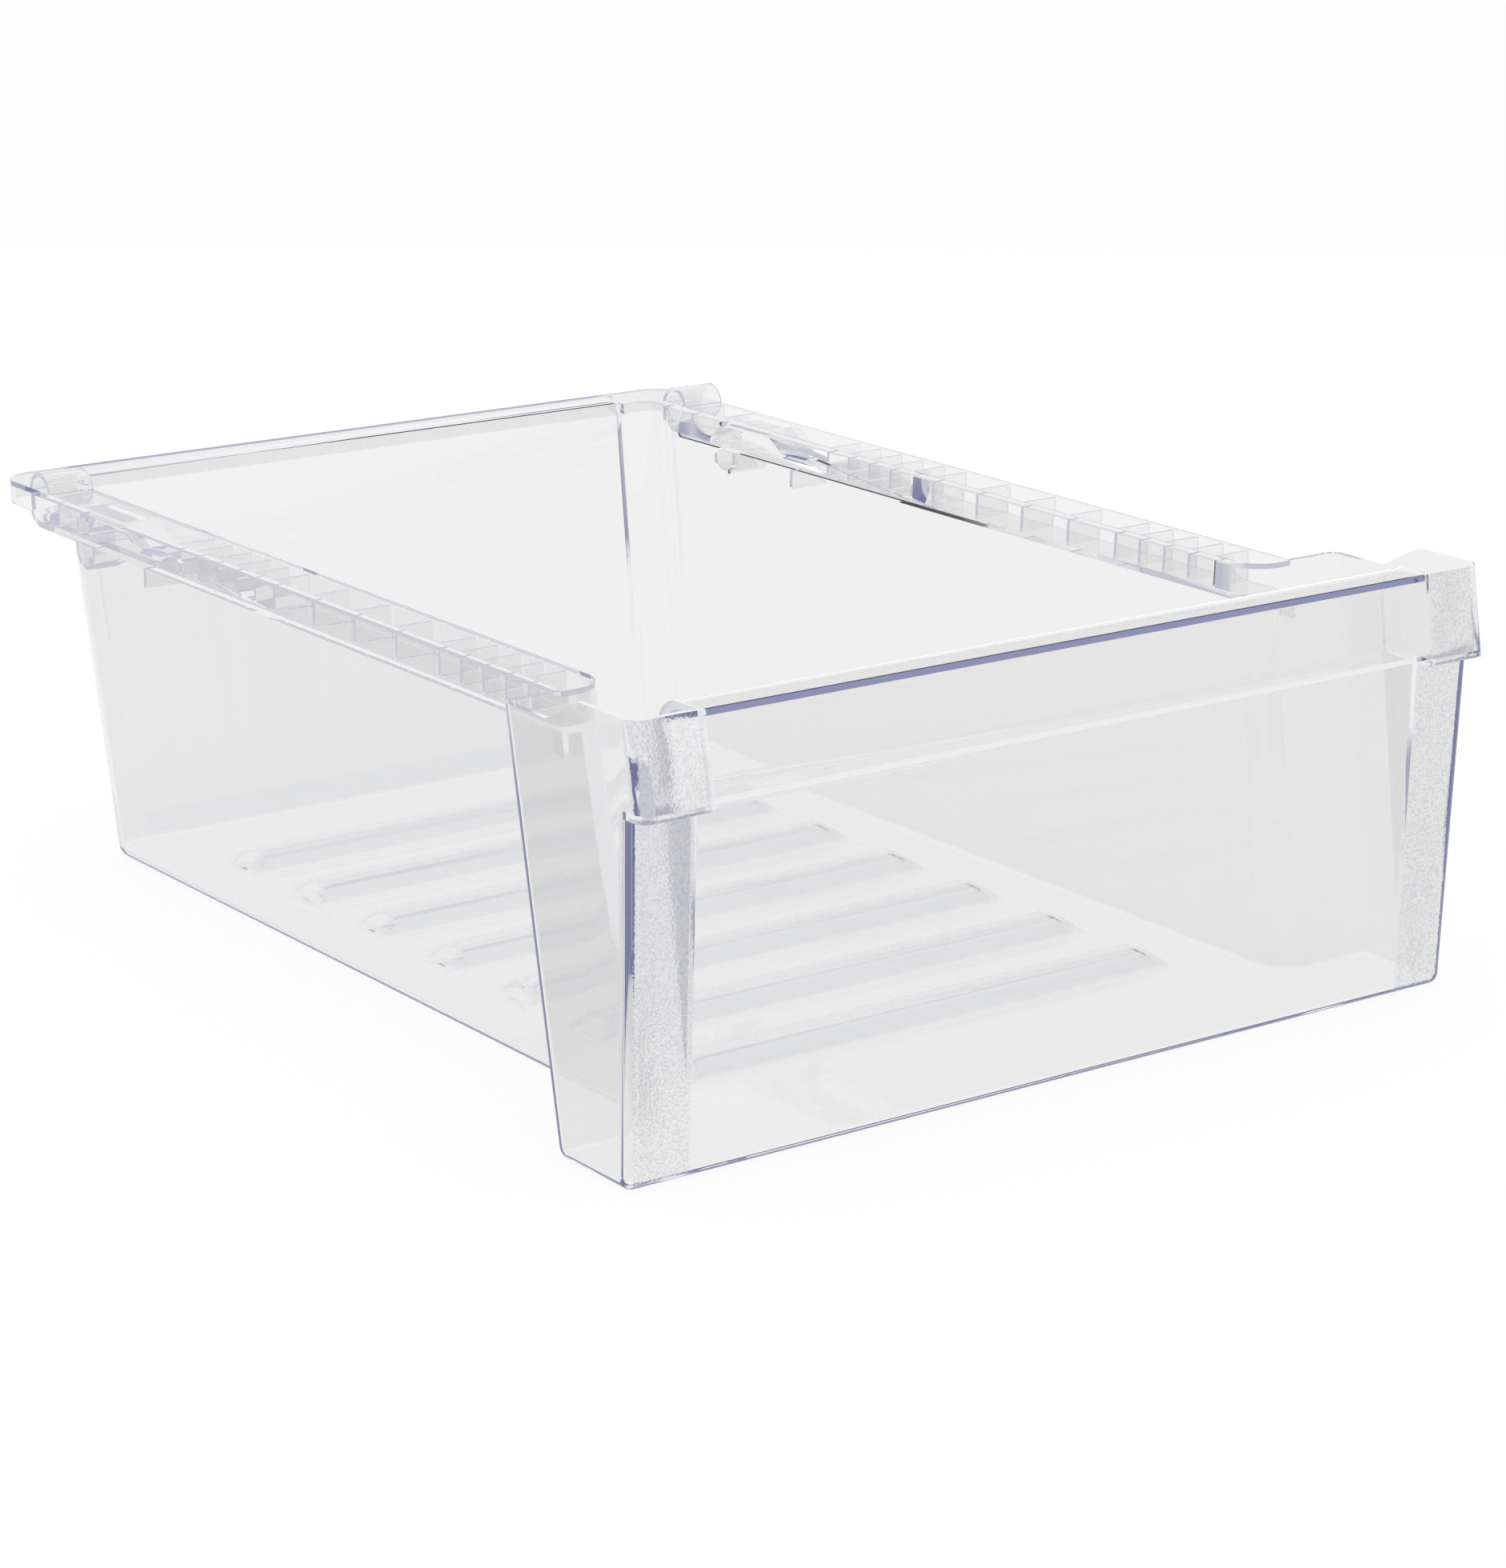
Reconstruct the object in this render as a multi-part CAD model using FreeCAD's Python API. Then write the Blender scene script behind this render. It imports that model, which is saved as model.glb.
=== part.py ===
import FreeCAD, Part
import math
import os
from FreeCAD import Vector

# Fridge crisper drawer, one clear moulding. Millimetres, +Z up, front towards -Y.
# While it is built, y = 0 is the bottom edge of the front panel and z = 0 its underside.
# At the end the solid is moved so that its origin is the middle of its footprint.

# Walls
wall = 2.4
floor_thickness = 2.6

# Height of the rim above the underside, and what rises above it or lies below it
rim_height = 162.7
ear_rise = 10.4
recess_drop = 24.1
ear_hang = 1.0

# Tub, over its outer faces
tub_width_top = 313.0
tub_side_draft = 5.4
tub_back_top = 497.3
tub_back_draft = 27.2
tub_corner_radius = 19.0
bottom_radius = 4.8

# Wide front part, over its outer faces
wing_reach = 43.5
front_side_draft = 2.7
front_lean = 5.0
front_depth_bottom = 45.0
front_depth_top = 74.4
edge_radius = 5.0
inner_corner_radius = 12.0

# Step in the top edge of the wide part's side walls
step_low_y = 45.2
step_high_y = 25.8
step_low_radius = 5.0
step_high_radius = 9.0

# Ears at the two top corners of the front
ear_width = 30.4
ear_front_top = -7.6
ear_front_bottom = -14.0
ear_corner_radius = 6.8
ear_edge_radius = 1.6

# Finger recess and handle lip between the ears
recess_back = 10.6
recess_floor_rise = 0.4
recess_corner_radius = 3.0
recess_lean = 4.1
lip_thickness = 2.8
lip_back_radius = 11.0
lip_edge_radius = 0.8
crease_radius = 2.8
panel_top_overlap = 12.0

# Stiffening fins behind the front panel
fin_foot_height = 30.5
fin_top_drop = 15.1

# Side rails: channels that open outwards
rail_reach = 18.2
rail_flange = 2.6
rail_height = 15.8
rail_end_inset = 15.7
rail_end_radius = 9.0
rib_first_gap = 21.3
rib_pitch = 15.1
rib_count = 18
rib_gaps = (5, 7, 9, 11)
rib_thickness = 1.6
rib_inset = 1.8

# Stop and ramp inside the channel: distances from the tub's back, rises above the lower flange
stop_thickness = 1.8
stop_back = 54.0
stop_crest_back = 57.8
stop_crest_front = 97.1
stop_shelf_back = 108.9
stop_shelf_front = 128.6
stop_shelf_rise = 3.0
stop_radius = 8.0
stop_bite = 0.2
ramp_back = 133.4
ramp_front = 214.2
ramp_rise = 6.0
ramp_radius = 1.5

# Small forms on the rails, at distances from the tub's back
saddle_back = 26.0
saddle_radius = 8.0
saddle_wall = 1.9
bumper_back = 65.7
bumper_width = 16.0
bumper_depth = 10.5
bumper_wall = 1.9
bumper_round = 0.98
tab_back = 118.1
tab_drop = 8.0
tab_thickness = 2.0
hook_drop = 8.2
hook_length = 5.5
hook_root_length = 11.0
hook_root_radius = 5.0
hook_tip_radius = 1.0

# Rim behind the back wall
back_rim_depth = 12.5
back_rim_radius = 14.0
back_skirt_drop = 10.0
back_skirt_wall = 2.2
gusset_x = 140.0
gusset_drop = 7.0
gusset_thickness = 2.0

# Raised ribs in the floor, hollow underneath
floor_rib_count = 7
floor_rib_first_y = 87.5
floor_rib_pitch = 52.9
floor_rib_length = 237.0
floor_rib_width = 25.3
floor_rib_height = 7.4
floor_rib_end_run = 8.6
floor_rib_wall = 2.2
floor_rib_crown_gap = 0.01

# Reach of the cutting solids beyond what they cut
clear = 12.0

# Sizes that follow from these
ear_top = rim_height + ear_rise
crease_height = rim_height - recess_drop
ear_bottom = crease_height - ear_hang
fin_top_height = ear_top - fin_top_drop
tub_width_bottom = tub_width_top - 2 * tub_side_draft
tub_back_bottom = tub_back_top - tub_back_draft
front_width_top = tub_width_top + 2 * wing_reach
front_width_bottom = front_width_top - 2 * front_side_draft
rail_half_width = tub_width_top / 2 + rail_reach
rail_back = tub_back_top - rail_end_inset
ear_inner_half = front_width_top / 2 - ear_width
top_plane = ear_top + clear
far_half = front_width_top / 2 + clear


def along(bottom, top, z):
    """A size that changes evenly from the underside to its own top height."""
    return lambda height: bottom + (top - bottom) * height / z


front_half = along(front_width_bottom / 2, front_width_top / 2, ear_top)
front_face = along(0.0, -front_lean, rim_height)
front_back = along(front_depth_bottom, front_depth_top, rim_height)
tub_half = along(tub_width_bottom / 2, tub_width_top / 2, rim_height)
tub_back = along(tub_back_bottom, tub_back_top, rim_height)


def ear_face(height):
    """Front of an ear, which leans back towards its top."""
    share = (height - ear_bottom) / (ear_top - ear_bottom)
    return ear_front_bottom + (ear_front_top - ear_front_bottom) * share


def in_yz(x):
    return lambda u, v: Vector(x, u, v)


def in_xy(z):
    return lambda u, v: Vector(u, v, z)


def in_xz(y):
    return lambda u, v: Vector(u, y, v)


def rounded_wire(corners, place):
    """Closed outline of corners (u, v, radius) with a tangent arc at each rounded corner."""
    starts, ends, arcs = [], [], []
    count = len(corners)
    for i, (u, v, radius) in enumerate(corners):
        here = Vector(u, v, 0)
        before = (Vector(*corners[i - 1][:2], 0) - here).normalize()
        after = (Vector(*corners[(i + 1) % count][:2], 0) - here).normalize()
        half = before.getAngle(after) / 2
        if radius <= 0 or abs(half - math.pi / 2) < 1e-6:
            starts.append(here)
            ends.append(here)
            arcs.append(None)
            continue
        reach = radius / math.tan(half)
        middle = (before + after).normalize() * (radius / math.sin(half) - radius)
        starts.append(here + before * reach)
        ends.append(here + after * reach)
        arcs.append(here + middle)
    edges = []
    for i in range(count):
        if arcs[i] is not None:
            points = [place(p.x, p.y) for p in (starts[i], arcs[i], ends[i])]
            edges.append(Part.Arc(*points).toShape())
        a, b = ends[i], starts[(i + 1) % count]
        if a.distanceToPoint(b) > 1e-6:
            edges.append(Part.LineSegment(place(a.x, a.y), place(b.x, b.y)).toShape())
    return Part.Wire(edges)


def prism(corners, place, travel):
    return Part.Face(rounded_wire(corners, place)).extrude(travel)


def ribbon(path, thickness):
    """Corners of a bent plate of even thickness about a centre line of (u, v, radius)."""
    half = thickness / 2
    points = [Vector(u, v, 0) for u, v, radius in path]
    runs = [(b - a).normalize() for a, b in zip(points, points[1:])]
    sides = [Vector(-run.y, run.x, 0) for run in runs]
    left, right = [], []
    last = len(points) - 1
    for i, (point, (u, v, radius)) in enumerate(zip(points, path)):
        first_side = sides[max(i - 1, 0)]
        next_side = sides[min(i, last - 1)]
        offset = (first_side + next_side) * (half / (1 + first_side.dot(next_side)))
        turn = 0.0
        if 0 < i < last:
            turn = math.copysign(half, runs[i - 1].cross(runs[i]).z)
        inner, outer = (max(radius - turn, 0), max(radius + turn, 0)) if radius else (0, 0)
        left.append((point.x + offset.x, point.y + offset.y, inner))
        right.append((point.x - offset.x, point.y - offset.y, outer))
    return left + right[::-1]


def frustum(x_low, x_high, y_low, y_high, z_low, z_high):
    """Six flat faces between two levels; each side is a function of the height."""
    def ring(z):
        return [Vector(x_low(z), y_low(z), z), Vector(x_high(z), y_low(z), z),
                Vector(x_high(z), y_high(z), z), Vector(x_low(z), y_high(z), z)]

    low, high = ring(z_low), ring(z_high)
    faces = [low[::-1], high]
    for i in range(4):
        j = (i + 1) % 4
        faces.append([low[i], low[j], high[j], high[i]])
    shell = Part.Shell([Part.Face(Part.makePolygon(f + f[:1])) for f in faces])
    return Part.Solid(shell)


def box(x_low, x_high, y_low, y_high, z_low, z_high):
    return Part.makeBox(x_high - x_low, y_high - y_low, z_high - z_low, Vector(x_low, y_low, z_low))


def mirrored(shape):
    return shape.mirror(Vector(0, 0, 0), Vector(1, 0, 0))


def both_sides(shapes):
    return list(shapes) + [mirrored(s) for s in shapes]


def steep_edges(shape, test):
    """Edges that climb the whole height of a frustum and whose foot passes the test."""
    found = []
    for edge in shape.Edges:
        ends = [v.Point for v in edge.Vertexes]
        if abs(ends[0].z - ends[1].z) > rim_height / 2:
            foot = min(ends, key=lambda p: p.z)
            if test(abs(foot.x), foot.y):
                found.append(edge)
    return found


def t_solid(inset, floor, high):
    """The T-shaped form in plan, moved in by a wall: wide front part and narrower tub."""
    front_mid = front_depth_bottom / 2
    wide = frustum(lambda z: inset - front_half(z), lambda z: front_half(z) - inset,
                   lambda z: front_face(z) + inset, lambda z: front_back(z) - inset, floor, high)
    tub = frustum(lambda z: inset - tub_half(z), lambda z: tub_half(z) - inset,
                  lambda z: front_mid, lambda z: tub_back(z) - inset, floor, high)
    solid = wide.fuse(tub).removeSplitter().Solids[0]
    wide_x = (front_width_bottom + tub_width_bottom) / 4
    groups = (
        (edge_radius - inset, lambda x, y: x > wide_x),
        (inner_corner_radius + inset, lambda x, y: x < wide_x and y < tub_back_bottom / 2),
        (tub_corner_radius - inset, lambda x, y: x < wide_x and y > tub_back_bottom / 2),
    )
    for radius, test in groups:
        solid = solid.makeFillet(radius, steep_edges(solid, test))
    around = [e for e in solid.Edges if all(abs(v.Z - floor) < 1e-3 for v in e.Vertexes)]
    return solid.makeFillet(bottom_radius - inset, around)


def ear_solid(inset):
    """One ear block, with its rounded front corner; moved in by a wall it is the hollow."""
    back = edge_radius + (clear if inset else 0)
    block = frustum(lambda z: ear_inner_half + inset, lambda z: front_half(z) - inset,
                    lambda z: ear_face(z) + inset, lambda z: back, ear_bottom + inset, top_plane)
    corner = [e for e in block.Edges
              if e.BoundBox.ZLength > clear and e.BoundBox.YMax < 0
              and e.BoundBox.XMin > ear_inner_half + ear_corner_radius]
    block = block.makeFillet(ear_corner_radius - inset, corner)
    if inset:
        return block
    side = [(ear_face(top_plane), top_plane, 0), (ear_face(ear_bottom), ear_bottom, ear_edge_radius),
            (back, ear_bottom, 0), (back, top_plane, 0)]
    return block.common(prism(side, in_yz(ear_inner_half), Vector(far_half, 0, 0)))


def top_trim():
    """Everything above the top edges, which step up near the front in an S-curve."""
    far_back = tub_back_top + clear
    far_front = ear_front_bottom - clear
    corners = [(far_front, ear_top, 0), (step_high_y, ear_top, step_high_radius),
               (step_low_y, rim_height, step_low_radius), (far_back, rim_height, 0),
               (far_back, top_plane + clear, 0), (far_front, top_plane + clear, 0)]
    return prism(corners, in_yz(-far_half), Vector(2 * far_half, 0, 0))


def front_profile():
    """Section of the finger recess and handle lip, from the panel's top edge up and over."""
    low = crease_height - panel_top_overlap
    floor_back = crease_height + recess_floor_rise
    back_top = recess_back + recess_lean
    lip_under = ear_top - lip_thickness
    under_crease = crease_height - wall
    return [
        (front_face(low), low, 0),
        (front_face(crease_height), crease_height, crease_radius),
        (recess_back, floor_back, recess_corner_radius),
        (back_top, lip_under, lip_back_radius - lip_thickness),
        (ear_front_top, lip_under, lip_edge_radius),
        (ear_front_top, ear_top, lip_edge_radius),
        (back_top + wall, ear_top, lip_back_radius),
        (recess_back + wall, floor_back - wall, recess_corner_radius + wall),
        (front_face(under_crease) + wall, under_crease, crease_radius - wall),
        (front_face(low) + wall, low, 0),
    ]


def fin():
    """Side wall of the recess that runs on downwards as a tapering rib behind the panel."""
    foot = (front_face(fin_foot_height) + wall / 2, fin_foot_height, 0)
    ear_low = ear_bottom + wall / 2
    panel_high = (front_face(ear_low) + wall / 2, ear_low, 0)
    front_low = (ear_face(ear_low) + wall / 2, ear_low, 0)
    front_high = (ear_face(ear_top) + wall / 2, ear_top, 0)
    crown = (recess_back + recess_lean + wall, ear_top, lip_back_radius)
    tip = (recess_back + recess_lean + wall, fin_top_height, 0)
    outline = [foot, panel_high, front_low, front_high, crown, tip]
    return prism(outline, in_yz(ear_inner_half), Vector(wall, 0, 0))


def rim_plate():
    """Flat flange along both sides and round the back, with rounded rear corners."""
    back = tub_back_top + back_rim_depth
    start = front_depth_bottom
    corners = [(-rail_half_width, start, 0), (rail_half_width, start, 0),
               (rail_half_width, back, back_rim_radius), (-rail_half_width, back, back_rim_radius)]
    return prism(corners, in_xy(rim_height - rail_flange), Vector(0, 0, rail_flange))


def back_skirt():
    """Lip that hangs from the rim's outer edge behind the rails."""
    back = tub_back_top + back_rim_depth
    low = rim_height - back_skirt_drop
    rise = Vector(0, 0, back_skirt_drop)

    def loop(inset):
        half = rail_half_width - inset
        radius = back_rim_radius - inset
        return [(-half, rail_back - back_skirt_wall, 0), (half, rail_back - back_skirt_wall, 0),
                (half, back - inset, radius), (-half, back - inset, radius)]

    outer = prism(loop(0), in_xy(low), rise)
    inner = prism(loop(back_skirt_wall), in_xy(low), rise)
    return outer.cut(inner.translated(Vector(0, -2 * back_skirt_wall, 0)).fuse(inner))


def rail_channel():
    """Lower flange that turns up at the back of the right rail into its end plate."""
    low = rim_height - rail_height
    path = [(front_depth_bottom, low + rail_flange / 2, 0),
            (rail_back - rail_flange / 2, low + rail_flange / 2, rail_end_radius),
            (rail_back - rail_flange / 2, rim_height - rail_flange / 2, 0)]
    reach = rail_half_width - tub_width_bottom / 2
    return prism(ribbon(path, rail_flange), in_yz(tub_width_bottom / 2), Vector(reach, 0, 0))


def rail_ribs():
    low = rim_height - rail_height + rail_flange / 2
    high = rim_height - rail_flange / 2
    first = front_depth_top + rib_first_gap
    places = [first + i * rib_pitch for i in range(rib_count) if i not in rib_gaps]
    places.append(tub_back_top - (saddle_back + stop_back) / 2)
    return [box(tub_width_bottom / 2, rail_half_width - rib_inset, y, y + rib_thickness, low, high)
            for y in places]


def rail_stop():
    """Curved stop and sloping ramp inside the right channel."""
    base = rim_height - rail_height + rail_flange
    crest = rim_height - rail_flange - stop_thickness / 2 + stop_bite
    shelf = base + stop_shelf_rise
    reach = Vector(rail_half_width - rib_inset - tub_width_bottom / 2, 0, 0)
    back = tub_back_top
    stop = [(back - stop_back, base - rail_flange / 2, 0), (back - stop_crest_back, crest, stop_radius),
            (back - stop_crest_front, crest, stop_radius), (back - stop_shelf_back, shelf, stop_radius / 2),
            (back - stop_shelf_front, shelf, 0)]
    ramp = [(back - stop_shelf_front + stop_thickness, shelf, 0),
            (back - ramp_back, base + ramp_rise, ramp_radius),
            (back - ramp_front, base - rail_flange / 4, 0)]
    place = in_yz(tub_width_bottom / 2)
    return [prism(ribbon(stop, stop_thickness), place, reach),
            prism(ribbon(ramp, rib_thickness), place, reach)]


def saddle():
    """Open half tube across the top of the right rail, at its back end."""
    inner_x = tub_width_top / 2 - wall
    length = rail_half_width - inner_x
    saddle_y = tub_back_top - saddle_back
    axis = Vector(1, 0, 0)
    centre = Vector(inner_x, saddle_y, rim_height - rail_flange / 2)
    radius = saddle_radius + rail_flange / 2
    tube = Part.makeCylinder(radius, length, centre, axis)
    bore = Part.makeCylinder(radius - saddle_wall, length, centre, axis)
    above = box(inner_x, rail_half_width, saddle_y - radius, saddle_y + radius,
                rim_height - rail_flange / 2, top_plane)
    return tube.cut(bore).common(above)


def hanging_forms():
    """What hangs under the lower flange of the right rail: bumper, tab and front hook."""
    low = rim_height - rail_height
    inside = tub_width_bottom / 2
    reach = Vector(rail_half_width - inside, 0, 0)
    half = (bumper_width - bumper_wall) / 2
    deep = low - bumper_depth + bumper_wall / 2
    top = low + rail_flange / 2
    bumper_y = tub_back_top - bumper_back
    tab_y = tub_back_top - tab_back
    bumper = [(bumper_y + half, top, 0), (bumper_y + half, deep, half * bumper_round),
              (bumper_y - half, deep, half * bumper_round), (bumper_y - half, top, 0)]
    tab = box(inside, rail_half_width, tab_y, tab_y + tab_thickness, low - tab_drop, top)
    start = front_back(low)
    hook = [(start - wall / 2, top, 0), (start - wall / 2, low - hook_drop, 0),
            (start + hook_length, low - hook_drop, hook_tip_radius),
            (start + hook_length, low, hook_root_radius),
            (start + hook_root_length, low, 0), (start + hook_root_length, top, 0)]
    hook_plate = prism(hook, in_yz(rail_half_width - wall), Vector(wall, 0, 0))
    return [prism(ribbon(bumper, bumper_wall), in_yz(inside), reach), tab, hook_plate]


def back_gusset():
    """Small web between the back wall and the rim's skirt."""
    back = tub_back_top + back_rim_depth - back_skirt_wall / 2
    return box(gusset_x, gusset_x + gusset_thickness, tub_back_bottom, back,
               rim_height - gusset_drop, rim_height - rail_flange / 2)


def floor_rib(inset):
    """One arched floor rib with sloping rounded ends; moved in by a wall it is the groove."""
    base = floor_thickness - inset
    half_width = floor_rib_width / 2 - inset
    half_length = floor_rib_length / 2 - inset
    high = floor_thickness + floor_rib_height - inset
    crown = half_length - floor_rib_end_run
    across = Part.Wire([
        Part.Arc(Vector(-half_length, -half_width, base), Vector(-half_length, 0, high),
                 Vector(-half_length, half_width, base)).toShape(),
        Part.LineSegment(Vector(-half_length, half_width, base),
                         Vector(-half_length, -half_width, base)).toShape()])
    arch = Part.Face(across).extrude(Vector(2 * half_length, 0, 0))
    over = high + floor_rib_crown_gap
    side = [(-half_length, base, 0), (-crown, over, floor_rib_end_run),
            (crown, over, floor_rib_end_run), (half_length, base, 0)]
    ends = prism(side, in_xz(-half_width), Vector(0, 2 * half_width, 0))
    rib = arch.common(ends)
    under = box(-half_length, half_length, -half_width, half_width, -clear, base)
    return rib.fuse(under) if inset else rib


def floor_rib_row(inset):
    return [floor_rib(inset).translated(Vector(0, floor_rib_first_y + i * floor_rib_pitch, 0))
            for i in range(floor_rib_count)]


def drawer():
    outer = t_solid(0.0, 0.0, top_plane)
    hollow = t_solid(wall, floor_thickness, top_plane + clear)
    hollow = hollow.fuse(both_sides([ear_solid(wall)]))
    body = outer.fuse(both_sides([ear_solid(0.0)])).cut(hollow).cut(top_trim())
    low = crease_height - panel_top_overlap
    mouth = box(-ear_inner_half, ear_inner_half, -clear, recess_back, low, top_plane)
    body = body.cut(mouth)

    rails = [rail_channel(), saddle(), back_gusset()]
    rails += rail_ribs() + rail_stop() + hanging_forms()
    outside = [rim_plate(), back_skirt()] + both_sides(rails)
    outside = outside[0].fuse(outside[1:]).cut(hollow)

    span = Vector(2 * ear_inner_half, 0, 0)
    front = [prism(front_profile(), in_yz(-ear_inner_half), span)] + both_sides([fin()])
    body = body.fuse([outside] + front + floor_rib_row(0.0))
    body = body.cut(floor_rib_row(floor_rib_wall))
    return body.removeSplitter()


shape = drawer()
room = shape.optimalBoundingBox()
shape.translate(Vector(-room.Center.x, -room.Center.y, -room.ZMin))
print("solids", len(shape.Solids), "valid", shape.isValid(), "volume", round(shape.Volume))
print("box", [round(v, 2) for v in (room.XLength, room.YLength, room.ZLength)])

os.makedirs("parts", exist_ok=True)
shape.exportStep("parts/drawer.step")
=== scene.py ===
import math

import bmesh
import bpy
import numpy as np
from bpy.props import FloatProperty, FloatVectorProperty, PointerProperty
from bpy.types import Operator, Panel, PropertyGroup
from mathutils import Matrix, Vector


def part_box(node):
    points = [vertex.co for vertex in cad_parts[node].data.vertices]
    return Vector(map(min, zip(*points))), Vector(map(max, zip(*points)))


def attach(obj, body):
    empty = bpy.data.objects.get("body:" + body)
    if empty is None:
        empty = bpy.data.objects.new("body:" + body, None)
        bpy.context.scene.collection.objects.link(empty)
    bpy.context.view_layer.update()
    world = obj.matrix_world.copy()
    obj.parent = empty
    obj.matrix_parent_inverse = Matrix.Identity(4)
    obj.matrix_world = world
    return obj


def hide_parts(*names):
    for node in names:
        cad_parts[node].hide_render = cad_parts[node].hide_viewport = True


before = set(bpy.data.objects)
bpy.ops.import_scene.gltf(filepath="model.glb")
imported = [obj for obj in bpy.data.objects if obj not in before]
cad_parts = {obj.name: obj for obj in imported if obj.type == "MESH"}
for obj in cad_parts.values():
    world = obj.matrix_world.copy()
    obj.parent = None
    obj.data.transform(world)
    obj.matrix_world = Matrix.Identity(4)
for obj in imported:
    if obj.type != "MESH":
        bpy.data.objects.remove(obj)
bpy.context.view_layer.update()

bl_info = {
    "name": "Clear crisper drawer",
    "version": (1, 0, 0),
    "blender": (4, 5, 0),
    "location": "3D View > Sidebar > Drawer",
    "description": "Dresses a moulded fridge drawer and sets it on a pale studio floor",
    "category": "Object",
}

MM = 0.001

# Photograph's frame and the camera that was fitted to it
PHOTO_SIZE = (1882, 1960)
PHOTO_FOCAL_PX = 5478.0
SENSOR_MM = 36.0
CAMERA_AT_MM = (-1003.48, -1424.90, 565.08)
CAMERA_FORWARD = (0.56633, 0.77524, -0.27976)
CAMERA_RIGHT = (0.8082, -0.5889, 0.00418)
CAMERA_CLIP = (0.05, 60.0)

# Studio: half the floor's width, its place just under the drawer, and for each lamp its size, place and
# aim in mm and whether polished faces mirror it
FLOOR_REACH = 14.0
FLOOR_DROP_MM = 0.4
LAMPS = {
    "top": ((1600, 1600), (0, 0, 1700), (0, 0, 0), False),
    "strip": ((2600, 240), (950, 1400, 170), (0, 150, 60), True),
    "side": ((700, 1600), (-1700, -300, 900), (0, 0, 80), False),
}

# Points nearer than this are one, and faces that turn less than this are one flat face
MERGE_MM = 0.005
FLAT_ANGLE = math.radians(0.6)

# How far the front panel, the tub's sides and the wing's trailing edge lean, per unit of height
PANEL_LEAN = 0.0308
TUB_LEAN = -0.0332
WING_LEAN = -0.1807

# Zones of the moulding whose look differs. Each has a share and the limits that bound it: a measure and
# where its soft step starts and ends. In mm, "aside" is the distance from the middle, "back" from the
# foremost point and "up" from the underside; "panel", "tub" and "wing" are the same with the lean taken
# off. "forward", "level" and "outward" say where a face looks, and "inside" is 1 for light in the wall.
ZONES = {
    # Faces painted dark slate blue, the plastic's blue cast over a long path darkened as painted shade: the
    # lip's front, the ears' floors, the fins' outer sides
    "deep": {
        "lip_front": (1.0, (("aside", 169.6, 169.0), ("up", 169.9, 170.2), ("back", 7.2, 6.6))),
        "ear_floor": (0.6, (("aside", 169.6, 172.0), ("up", 139.4, 139.0), ("back", 9.0, 8.0))),
        "fin_side": (0.4, (("aside", 171.4, 171.7), ("aside", 172.6, 172.3), ("outward", 103.2, 137.6),
                           ("back", 42.0, 40.0))),
    },
    # Places where the painted glow of caught light is pale, painted light in the recess, on the ears, in
    # the corner and on the tub's sides
    "soft": {
        "recess": (1.0, (("panel", 44.0, 40.0), ("aside", 192.0, 188.0), ("up", 95.0, 110.0),
                         ("up", 170.2, 169.4))),
        "ear": (1.0, (("aside", 169.6, 172.0), ("back", 85.0, 75.0), ("up", 140.0, 140.8))),
        "ear_foot": (1.0, (("aside", 169.6, 172.0), ("back", 9.0, 8.0), ("up", 130.0, 131.0))),
        "corner": (1.0, (("tub", 147.0, 149.0), ("tub", 166.0, 163.0), ("wing", 54.7, 56.1),
                         ("wing", 73.7, 70.7))),
        "tub_side": (0.55, (("up", 20.0, 30.0), ("aside", 140.0, 142.0), ("back", 80.0, 88.0))),
    },
    # Fine grain on the outer front, beyond the fins
    "grained": {
        "front_strip": (1.0, (("aside", 169.6, 172.0), ("panel", 14.5, 14.0), ("forward", -0.1, -0.3),
                              ("inside", 1.0, 0.0))),
    },
    # Flats and crowns of the floor, painted lighter as a painted highlight, and the front slopes of its
    # ribs, painted darker as painted shade
    "floor": {
        "flat": (1.0, (("up", 14.0, 13.0), ("level", 0.55, 0.95))),
    },
    # Painted shade: the rib fronts get a darker tint
    "slope": {
        "rib_front": (1.0, (("up", 14.0, 13.0), ("up", 2.6, 3.2), ("aside", 130.0, 129.0),
                            ("back", 36.0, 38.0), ("forward", -0.15, -0.5))),
    },
}

# Grain: how deep it is, how rough it is against a polished face, and which of its heights look dark
GRAIN_DEPTH_MM = 0.2
ROUGHNESS = (0.03, 0.25)
DARK_GRAIN = (0.42, 0.66)

# Bounces over which light counts as caught in a wall, as seen through other walls, and as spent; past them
# a painted glow ends the light
RAY_FADES = {
    "Glossy Depth": (1.0, 3.0),
    "Transmission Depth": (1.0, 3.0),
    "Ray Depth": (7.0, 10.0),
}


def srgb(code):
    """Linear colour of an sRGB hex code such as "#8a90b4"."""
    parts = [int(code[i:i + 2], 16) / 255 for i in (1, 3, 5)]
    return tuple(p / 12.92 if p <= 0.04045 else ((p + 0.055) / 1.055) ** 2.4 for p in parts)


def node(tree, kind, links=(), **settings):
    """Adds one node: settings are its own properties, or input values by socket in `values`."""
    made = tree.nodes.new(kind)
    values = settings.pop("values", {})
    for key, value in settings.items():
        setattr(made, key, value)
    for key, value in values.items():
        made.inputs[key].default_value = value
    for key, source in links:
        tree.links.new(source, made.inputs[key])
    return made


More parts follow.
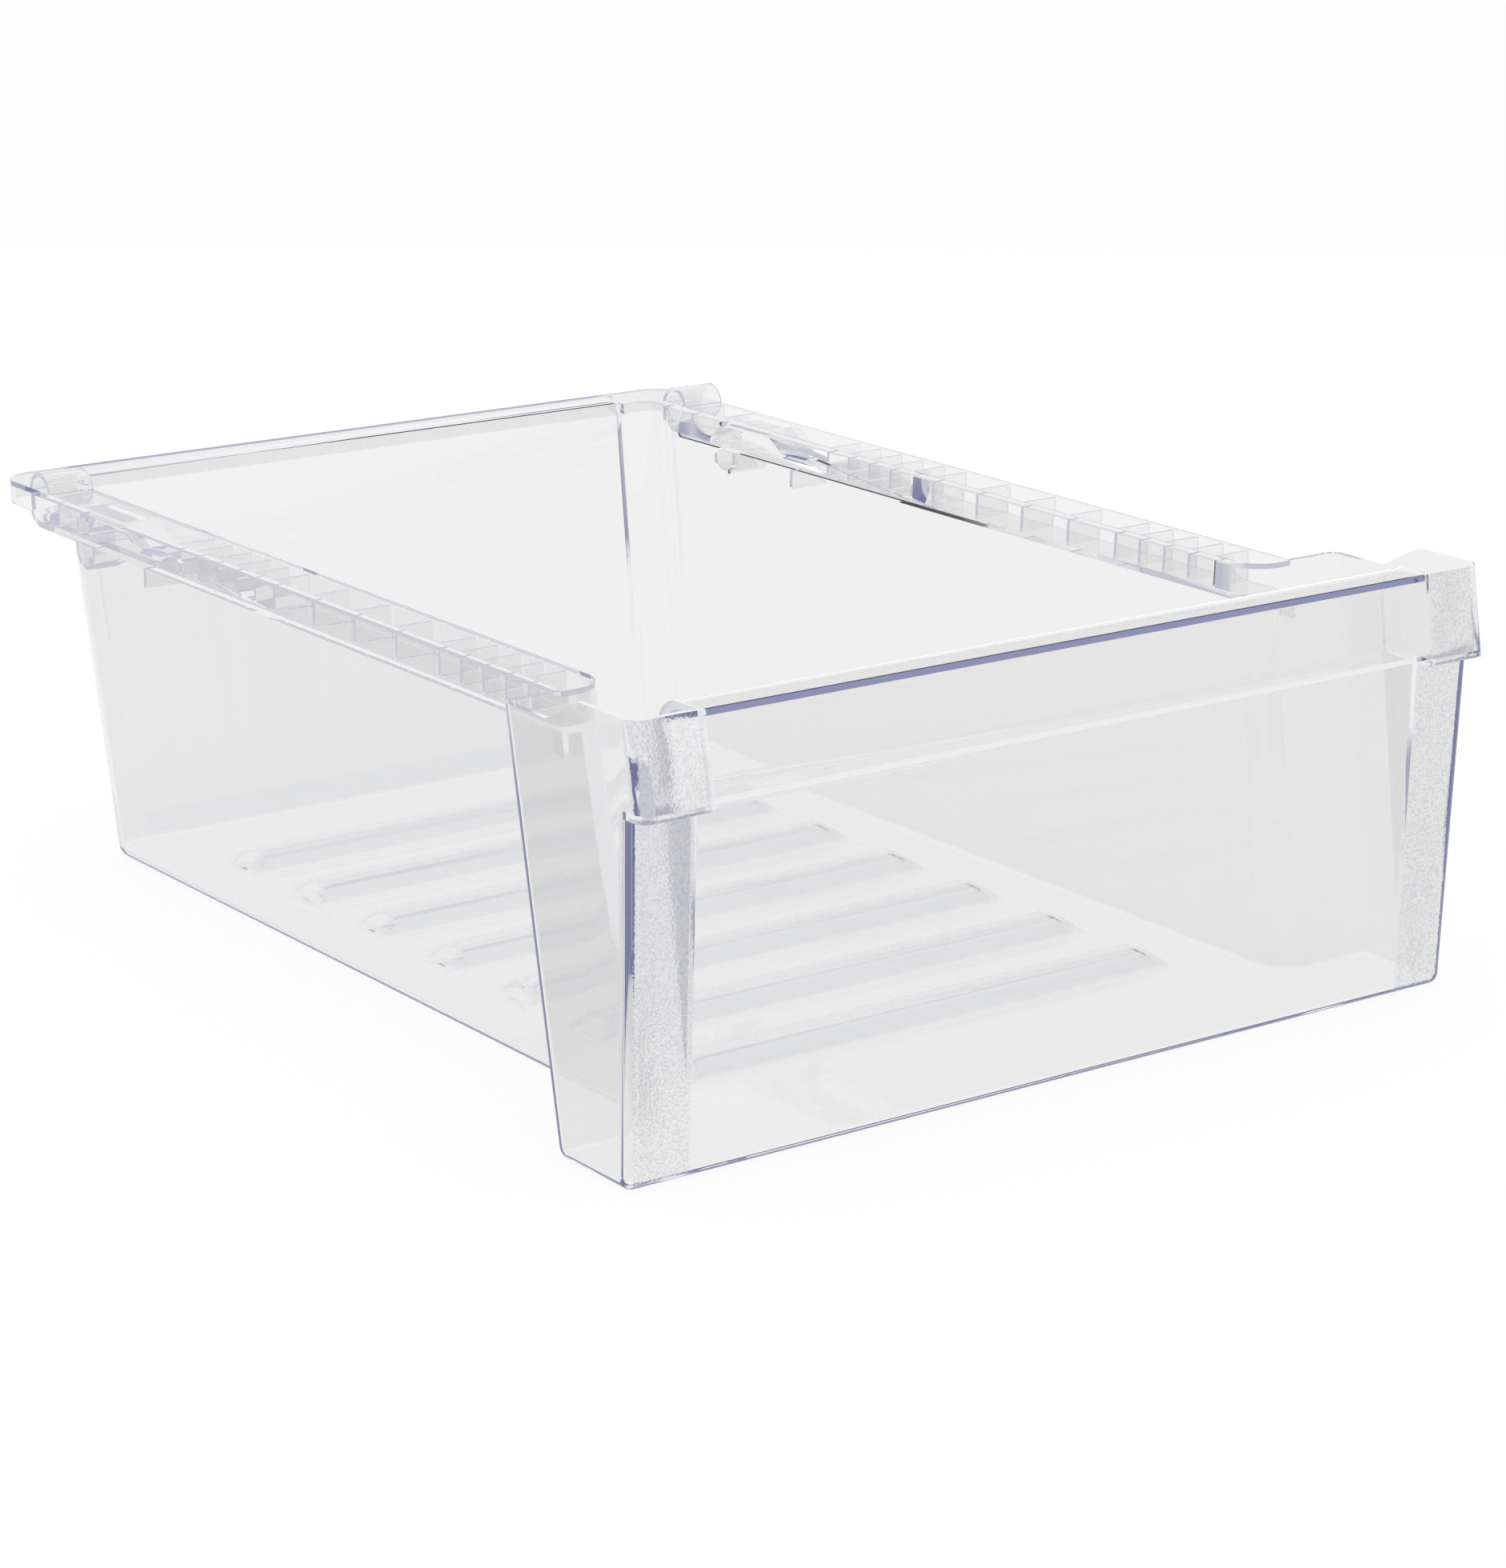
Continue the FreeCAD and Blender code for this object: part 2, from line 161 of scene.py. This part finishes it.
class MouldingLook(PropertyGroup):
    """Sizes and colours of the clear moulding."""

    smooth_angle: FloatProperty(
        name="Smooth angle", description="Faces that meet at less than this look smooth",
        default=math.radians(32), subtype="ANGLE")
    bend: FloatProperty(
        name="Bend", description="Refractive index of the walls", default=1.5)
    tint: FloatVectorProperty(
        name="Tint", description="What each face of a wall lets through", subtype="COLOR",
        default=srgb("#f1f1f1"))
    # Painted highlight: the lighter tint of the floor's flats and crowns
    floor_highlight_tint: FloatVectorProperty(
        name="Bright tint", description="What the flats and crowns of the floor let through",
        subtype="COLOR", default=srgb("#fefefe"))
    # Painted shade: the darker tint of the rib fronts
    rib_shade_tint: FloatVectorProperty(
        name="Slope tint", description="What the front slopes of the floor ribs let through",
        subtype="COLOR", default=srgb("#ecedf0"))
    grain_tint: FloatVectorProperty(
        name="Grain tint", description="What the darker grains of the front corners let through",
        subtype="COLOR", default=srgb("#d4d6dd"))
    # Painted shade: dark slate blue on faces that look along the moulding, over the plastic's own blue cast
    depth_shade_tint: FloatVectorProperty(
        name="Deep tint", description="What a face lets through that looks along the moulding",
        subtype="COLOR", default=srgb("#4a4f7d"))
    # Painted glow: the emitted slate blue that ends light caught in a wall
    caught_glow_colour: FloatVectorProperty(
        name="Trapped tint", description="Colour of light caught between the faces of a wall",
        subtype="COLOR", default=srgb("#6c719a"))
    # Painted glow: the emitted pale colour that ends caught light behind other walls and in the soft zones
    far_glow_colour: FloatVectorProperty(
        name="Far tint", description="Colour of caught light behind other walls", subtype="COLOR",
        default=srgb("#f4f4f7"))
    shadow_tint: FloatVectorProperty(
        name="Shadow tint", description="What each face lets through to the shadow", subtype="COLOR",
        default=srgb("#fafafb"))
    grain_size: FloatProperty(
        name="Grain size", description="Size of the grain on the front corners",
        default=1.0 * MM, unit="LENGTH", precision=5)


class StageLook(PropertyGroup):
    """Floor, light and backdrop."""

    floor: FloatVectorProperty(
        name="Floor", description="Colour of the studio floor", subtype="COLOR",
        default=srgb("#f4f4f4"))
    floor_glow: FloatProperty(
        name="Floor glow", description="Share of plain white in what the eye sees of the floor",
        default=0.9, subtype="FACTOR", min=0.0, max=1.0)
    world_level: FloatProperty(
        name="World level", description="Soft light from all round", default=0.9)
    top_power: FloatProperty(
        name="Top lamp", description="Large lamp overhead, in watts", default=8.0, unit="POWER")
    strip_power: FloatProperty(
        name="Strip lamp", description="Long low lamp behind, in watts", default=1.5, unit="POWER")
    side_power: FloatProperty(
        name="Side lamp", description="Tall lamp at the left, in watts", default=6.0, unit="POWER")


def mask_of(tree, measures, zones):
    """Mask of a table of zones: the product of each zone's soft steps and share, and the largest of all."""
    whole = None
    for share, limits in zones.values():
        mask = None
        for name, start, end in limits:
            top = share if mask is None else 1.0
            step = node(tree, "ShaderNodeMapRange", [("Value", measures[name])],
                        interpolation_type="SMOOTHSTEP",
                        values={"From Min": start, "From Max": end, "To Max": top}).outputs[0]
            if mask is not None:
                step = node(tree, "ShaderNodeMath", [(0, mask), (1, step)],
                            operation="MULTIPLY").outputs[0]
            mask = step
        if whole is not None:
            mask = node(tree, "ShaderNodeMath", [(0, whole), (1, mask)], operation="MAXIMUM").outputs[0]
        whole = mask
    return whole


def measures_of(tree, place_mm, normal):
    """Sockets of the measures that the zones are bounded by."""
    x, y, z = node(tree, "ShaderNodeSeparateXYZ", [("Vector", place_mm)]).outputs
    facing = node(tree, "ShaderNodeSeparateXYZ", [("Vector", normal)]).outputs
    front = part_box("drawer")[0].y / MM
    aside = node(tree, "ShaderNodeMath", [(0, x)], operation="ABSOLUTE").outputs[0]
    back = node(tree, "ShaderNodeMath", [(0, y)], operation="SUBTRACT", values={1: front}).outputs[0]
    measures = {"aside": aside, "back": back, "up": z, "forward": facing["Y"]}
    leaning = (("panel", PANEL_LEAN, back), ("tub", TUB_LEAN, aside), ("wing", WING_LEAN, back))
    for name, lean, start in leaning:
        measures[name] = node(tree, "ShaderNodeMath", [(0, z), (2, start)], operation="MULTIPLY_ADD",
                              values={1: lean}).outputs[0]
    measures["level"] = node(tree, "ShaderNodeMath", [(0, facing["Z"])], operation="ABSOLUTE").outputs[0]
    measures["outward"] = node(tree, "ShaderNodeMath", [(0, x), (1, facing["X"])],
                               operation="MULTIPLY").outputs[0]
    measures["inside"] = node(tree, "ShaderNodeNewGeometry").outputs["Backfacing"]
    return measures


def clear_polystyrene(look):
    """Moulded clear polystyrene: polished faces that let most light through, edges and folds painted slate
    blue as shade and with a slate glow in place of light caught between the faces there, the floor's flats
    and rib fronts painted lighter and darker as highlight and shade, and fine grain on the front corners."""
    material = bpy.data.materials.new("moulded_clear_polystyrene")
    material.use_nodes = True
    tree = material.node_tree
    tree.nodes.clear()

    where = node(tree, "ShaderNodeTexCoord").outputs
    place_mm = node(tree, "ShaderNodeVectorMath", [("Vector", where["Object"])], operation="SCALE",
                    values={"Scale": 1 / MM}).outputs[0]
    measures = measures_of(tree, place_mm, where["Normal"])
    masks = {name: mask_of(tree, measures, zones) for name, zones in ZONES.items()}

    # Grain as coarse as it needs to show in the picture
    grain = node(tree, "ShaderNodeTexNoise", [("Vector", place_mm)],
                 values={"Scale": MM / look.grain_size, "Detail": 0.0}).outputs["Fac"]
    dark = node(tree, "ShaderNodeMapRange", [("Value", grain)], interpolation_type="SMOOTHSTEP",
                values={"From Min": DARK_GRAIN[0], "From Max": DARK_GRAIN[1]}).outputs[0]
    speckle = node(tree, "ShaderNodeMath", [(0, masks["grained"]), (1, dark)],
                   operation="MULTIPLY").outputs[0]
    pits = node(tree, "ShaderNodeBump", [("Height", grain), ("Strength", masks["grained"])],
                values={"Distance": GRAIN_DEPTH_MM * MM}).outputs[0]
    rough = node(tree, "ShaderNodeMapRange", [("Value", masks["grained"])],
                 values={"To Min": ROUGHNESS[0], "To Max": ROUGHNESS[1]}).outputs[0]

    # What a face lets through, each tint laid over the one before; sockets 6 and 7 are the two colours
    # Of these layers the floor's is a painted highlight, the slope's painted shade and the deep one painted
    # slate shade; the grain is the plastic's own
    layers = [(masks["floor"], look.floor_highlight_tint), (masks["slope"], look.rib_shade_tint),
              (speckle, look.grain_tint), (masks["deep"], look.depth_shade_tint)]
    links = []
    for mask, tint in layers:
        colour = node(tree, "ShaderNodeMix", [("Factor", mask), *links], data_type="RGBA",
                      values={6: (*look.tint, 1), 7: (*tint, 1)}).outputs[2]
        links = [(6, colour)]
    plastic = node(tree, "ShaderNodeBsdfPrincipled",
                   [("Base Color", colour), ("Roughness", rough), ("Normal", pits)],
                   values={"IOR": look.bend, "Transmission Weight": 1.0}).outputs[0]

    # Painted glow: light that is caught or spent ends in an emitted slate blue near the eye, and an emitted
    # pale colour behind walls and in soft zones
    light = node(tree, "ShaderNodeLightPath").outputs
    fades = {}
    for name, (start, end) in RAY_FADES.items():
        fades[name] = node(tree, "ShaderNodeMapRange", [("Value", light[name])],
                           values={"From Min": start, "From Max": end}).outputs[0]
    ended = node(tree, "ShaderNodeMath", [(0, fades["Glossy Depth"]), (1, fades["Ray Depth"])],
                 operation="MAXIMUM").outputs[0]
    pale = node(tree, "ShaderNodeMath", [(0, fades["Transmission Depth"]), (1, masks["soft"])],
                operation="MAXIMUM").outputs[0]
    end_colour = node(tree, "ShaderNodeMix", [("Factor", pale)], data_type="RGBA",
                      values={6: (*look.caught_glow_colour, 1), 7: (*look.far_glow_colour, 1)}).outputs[2]
    trapped = node(tree, "ShaderNodeEmission", [("Color", end_colour)]).outputs[0]
    body = node(tree, "ShaderNodeMixShader", [(0, ended), (1, plastic), (2, trapped)]).outputs[0]
    see_through = node(tree, "ShaderNodeBsdfTransparent",
                       values={"Color": (*look.shadow_tint, 1)}).outputs[0]
    surface = node(tree, "ShaderNodeMixShader",
                   [(0, light["Is Shadow Ray"]), (1, body), (2, see_through)]).outputs[0]
    node(tree, "ShaderNodeOutputMaterial", [("Surface", surface)])
    return material


def seen(tree):
    """Socket that is 1 for what the eye sees straight on, mirrored or through the plastic."""
    light = node(tree, "ShaderNodeLightPath").outputs
    straight = node(tree, "ShaderNodeMath", [(0, light["Is Camera Ray"]), (1, light["Is Glossy Ray"])],
                    operation="MAXIMUM").outputs[0]
    return node(tree, "ShaderNodeMath", [(0, straight), (1, light["Is Transmission Ray"])],
                operation="MAXIMUM").outputs[0]


def studio_white(look):
    """Matt white paint: a pale floor that the eye sees as white while it still takes the shadow."""
    material = bpy.data.materials.new("studio_floor")
    material.use_nodes = True
    tree = material.node_tree
    tree.nodes.clear()
    paint = node(tree, "ShaderNodeBsdfDiffuse", values={"Color": (*look.floor, 1)}).outputs[0]
    glow = node(tree, "ShaderNodeEmission", values={"Color": (1, 1, 1, 1), "Strength": 1.0}).outputs[0]
    share = node(tree, "ShaderNodeMath", [(0, seen(tree))], operation="MULTIPLY",
                 values={1: look.floor_glow}).outputs[0]
    mixed = node(tree, "ShaderNodeMixShader", [(0, share), (1, paint), (2, glow)]).outputs[0]
    node(tree, "ShaderNodeOutputMaterial", [("Surface", mixed)])
    return material


class DRAWER_OT_moulding(Operator):
    """Make the clear moulding from the solid, with its faces merged and shaded smooth"""

    bl_idname = "drawer.moulding"
    bl_label = "Clear moulding"

    def execute(self, context):
        look = context.scene.drawer_moulding
        shape = bmesh.new()
        shape.from_mesh(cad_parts["drawer"].data)
        bmesh.ops.remove_doubles(shape, verts=shape.verts, dist=MERGE_MM * MM)
        bmesh.ops.dissolve_limit(shape, angle_limit=FLAT_ANGLE, verts=shape.verts,
                                 edges=shape.edges, delimit=set())
        mesh = bpy.data.meshes.new("moulding")
        shape.to_mesh(mesh)
        shape.free()
        mesh.polygons.foreach_set("use_smooth", np.ones(len(mesh.polygons), bool))
        mesh.set_sharp_from_angle(angle=look.smooth_angle)
        mesh.materials.clear()
        mesh.materials.append(clear_polystyrene(look))
        piece = bpy.data.objects.new("moulding", mesh)
        context.scene.collection.objects.link(piece)
        flat = piece.modifiers.new("flat_walls", "WEIGHTED_NORMAL")
        flat.mode = "FACE_AREA"
        flat.weight = 100
        flat.keep_sharp = True
        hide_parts("drawer")
        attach(piece, "root")
        return {"FINISHED"}


def add_lamp(context, name, power, size, at, towards, mirrored):
    """Soft rectangular lamp at a place, turned towards another; both in mm."""
    data = bpy.data.lights.new(name, "AREA")
    data.shape = "RECTANGLE"
    data.size, data.size_y = (s * MM for s in size)
    data.energy = power
    lamp = bpy.data.objects.new(name, data)
    context.scene.collection.objects.link(lamp)
    start, end = (Vector(p) * MM for p in (at, towards))
    lamp.location = start
    lamp.visible_camera = False
    lamp.visible_glossy = mirrored
    lamp.visible_transmission = False
    lamp.rotation_mode = "QUATERNION"
    lamp.rotation_quaternion = (end - start).to_track_quat("-Z", "Y")


def add_floor(context, look):
    """Plain pale floor under the drawer."""
    mesh = bpy.data.meshes.new("floor")
    corners = np.array([(-1, -1), (1, -1), (1, 1), (-1, 1)], float) * FLOOR_REACH
    mesh.from_pydata(np.c_[corners, np.full(4, -FLOOR_DROP_MM * MM)], [], [(0, 1, 2, 3)])
    mesh.materials.append(studio_white(look))
    floor = bpy.data.objects.new("floor", mesh)
    context.scene.collection.objects.link(floor)


def add_world(context, look):
    """Soft light from all round, seen as plain white."""
    world = bpy.data.worlds.new("studio")
    context.scene.world = world
    world.use_nodes = True
    tree = world.node_tree
    tree.nodes.clear()
    level = node(tree, "ShaderNodeMapRange", [("Value", seen(tree))],
                 values={"To Min": look.world_level, "To Max": 1.0}).outputs[0]
    sky = node(tree, "ShaderNodeBackground", [("Strength", level)],
               values={"Color": (1, 1, 1, 1)}).outputs[0]
    node(tree, "ShaderNodeOutputWorld", [("Surface", sky)])


def add_camera(context):
    """Camera at the photograph's place and angle."""
    data = bpy.data.cameras.new("photo_camera")
    data.sensor_fit = "HORIZONTAL"
    data.sensor_width = SENSOR_MM
    data.lens = SENSOR_MM * PHOTO_FOCAL_PX / PHOTO_SIZE[0]
    data.clip_start, data.clip_end = CAMERA_CLIP
    ahead = Vector(CAMERA_FORWARD).normalized()
    right = Vector(CAMERA_RIGHT)
    right = (right - ahead * right.dot(ahead)).normalized()
    turn = Matrix((right, right.cross(ahead), -ahead)).transposed()
    camera = bpy.data.objects.new("photo_camera", data)
    context.scene.collection.objects.link(camera)
    camera.matrix_world = Matrix.Translation(Vector(CAMERA_AT_MM) * MM) @ turn.to_4x4()
    context.scene.camera = camera


class DRAWER_OT_stage(Operator):
    """Set the floor, the light and the photograph's camera"""

    bl_idname = "drawer.stage"
    bl_label = "Studio stage"

    def execute(self, context):
        look = context.scene.drawer_stage
        add_floor(context, look)
        add_world(context, look)
        for name, settings in LAMPS.items():
            add_lamp(context, name + "_lamp", getattr(look, name + "_power"), *settings)
        add_camera(context)
        context.scene.view_settings.view_transform = "Standard"
        return {"FINISHED"}


class DRAWER_PT_panel(Panel):
    """Lists what makes up the drawer and its stage"""

    bl_idname = "DRAWER_PT_panel"
    bl_label = "Crisper drawer"
    bl_space_type = "VIEW_3D"
    bl_region_type = "UI"
    bl_category = "Drawer"

    def draw(self, context):
        column = self.layout.column()
        for group in (context.scene.drawer_moulding, context.scene.drawer_stage):
            for name in group.__annotations__:
                column.prop(group, name)
        for operator in (DRAWER_OT_moulding, DRAWER_OT_stage):
            column.operator(operator.bl_idname)


CLASSES = (MouldingLook, StageLook, DRAWER_OT_moulding, DRAWER_OT_stage, DRAWER_PT_panel)


def register():
    for kind in CLASSES:
        bpy.utils.register_class(kind)
    bpy.types.Scene.drawer_moulding = PointerProperty(type=MouldingLook)
    bpy.types.Scene.drawer_stage = PointerProperty(type=StageLook)


def unregister():
    del bpy.types.Scene.drawer_stage
    del bpy.types.Scene.drawer_moulding
    for kind in reversed(CLASSES):
        bpy.utils.unregister_class(kind)


def main():
    register()
    bpy.ops.drawer.moulding()
    bpy.ops.drawer.stage()


if __name__ == "__main__":
    main()
